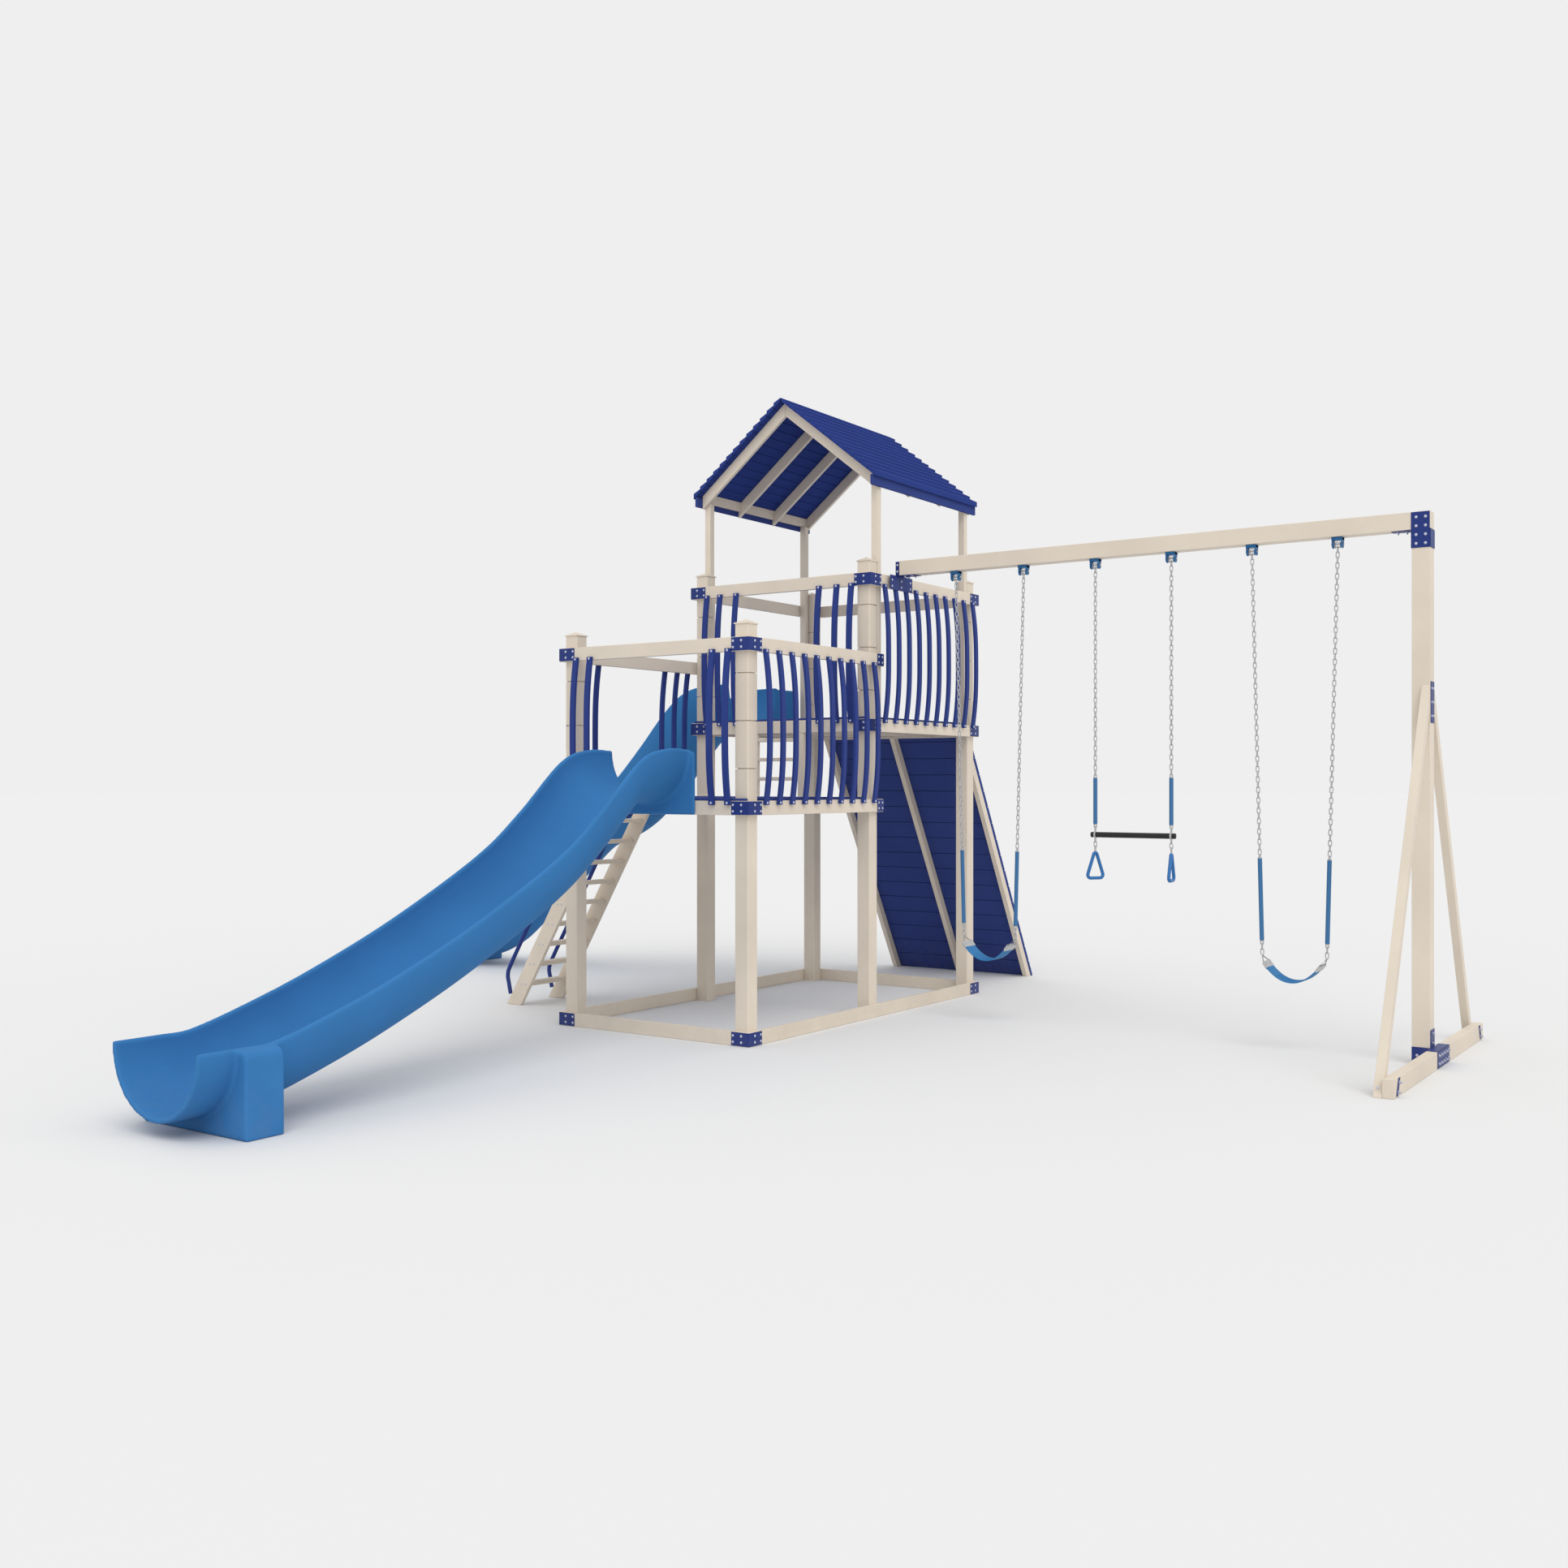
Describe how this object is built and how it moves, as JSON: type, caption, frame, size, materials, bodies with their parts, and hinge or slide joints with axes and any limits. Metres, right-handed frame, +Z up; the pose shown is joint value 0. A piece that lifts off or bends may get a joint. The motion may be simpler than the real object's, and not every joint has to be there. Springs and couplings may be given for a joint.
{
  "type": "play set",
  "caption": "Backyard play set: split-level tower with a gable roof, slides, ladder and climbing ramp, and a braced swing beam with belt swings and a trapeze with rings.",
  "frame": {"origin": "on the ground under the middle of the front base beam, half-way through its thickness", "axes": "+X towards the swing beam's far end, +Y from the front slide to the climbing ramp, +Z up"},
  "size_m": [8.8439, 7.832, 4.4381],
  "materials": {
    "almond": "satin almond vinyl sleeve over timber",
    "navy": "satin navy vinyl",
    "blue": "semi-gloss blue moulded polyethylene",
    "bracket": "navy powder coat",
    "chain": "galvanised chain with blue grip sleeves",
    "rubber": "blue moulded belt",
    "black": "black coated bar"
  },
  "bodies": {
    "frame": {"post_front_left": "almond", "post_front_right": "almond", "post_mid_left": "almond", "post_mid_right": "almond", "post_rear_left": "almond", "post_rear_right": "almond", "base_beam_front": "almond", "base_beam_left": "almond", "base_beam_rear": "almond", "base_beam_right": "almond", "lower_deck": "almond", "upper_deck": "almond", "lower_guard_front": "navy", "lower_guard_left": "navy", "lower_guard_right": "navy", "upper_guard_front": "navy", "upper_guard_right": "navy", "upper_rail_left": "almond", "upper_rail_rear": "almond", "roof_post_front_left": "almond", "roof_post_front_right": "almond", "roof_post_rear_left": "almond", "roof_post_rear_right": "almond", "roof_frame": "almond", "roof_panel_left": "navy", "roof_panel_right": "navy", "slide_front": "blue", "slide_left": "blue", "ladder": "almond", "ladder_handrail_near": "navy", "ladder_handrail_far": "navy", "deck_steps": "almond", "climbing_panel": "navy", "climbing_stringer_left": "almond", "climbing_stringer_middle": "almond", "climbing_stringer_right": "almond", "swing_beam": "almond", "swing_post": "almond", "swing_brace_near": "almond", "swing_brace_far": "almond", "swing_ground_beam": "almond", "beam_tower_bracket": "bracket", "beam_post_bracket": "bracket", "hanger_1": "bracket", "hanger_2": "bracket", "hanger_3": "bracket", "hanger_4": "bracket", "hanger_5": "bracket", "hanger_6": "bracket"},
    "left_swing": {"left_swing_chain_inner": "chain", "left_swing_chain_outer": "chain"},
    "left_seat": {"left_swing_seat": "rubber"},
    "trapeze": {"trapeze_chain_inner": "chain", "trapeze_chain_outer": "chain", "trapeze_bar": "black"},
    "ring_inner": {"trapeze_ring_inner": "blue"},
    "ring_outer": {"trapeze_ring_outer": "blue"},
    "right_swing": {"right_swing_chain_inner": "chain", "right_swing_chain_outer": "chain"},
    "right_seat": {"right_swing_seat": "rubber"}
  },
  "joints": [
    {"name": "left_swing_pivot", "type": "hinge", "parent": "frame", "child": "left_swing", "pos_m": [1.5249, 1.783, 3.068], "axis": [1, 0, 0], "range_deg": [-60, 60]},
    {"name": "left_seat_pivot", "type": "hinge", "parent": "left_swing", "child": "left_seat", "pos_m": [1.5249, 1.783, 0.575], "axis": [1, 0, 0], "range_deg": [-60, 60]},
    {"name": "trapeze_pivot", "type": "hinge", "parent": "frame", "child": "trapeze", "pos_m": [2.5605, 1.783, 3.068], "axis": [1, 0, 0], "range_deg": [-60, 60]},
    {"name": "ring_inner_pivot", "type": "hinge", "parent": "trapeze", "child": "ring_inner", "pos_m": [2.3016, 1.783, 1.255], "axis": [1, 0, 0], "range_deg": [-60, 60]},
    {"name": "ring_outer_pivot", "type": "hinge", "parent": "trapeze", "child": "ring_outer", "pos_m": [2.8194, 1.783, 1.255], "axis": [1, 0, 0], "range_deg": [-60, 60]},
    {"name": "right_swing_pivot", "type": "hinge", "parent": "frame", "child": "right_swing", "pos_m": [3.5961, 1.783, 3.068], "axis": [1, 0, 0], "range_deg": [-60, 60]},
    {"name": "right_seat_pivot", "type": "hinge", "parent": "right_swing", "child": "right_seat", "pos_m": [3.5961, 1.783, 0.575], "axis": [1, 0, 0], "range_deg": [-60, 60]}
  ]
}
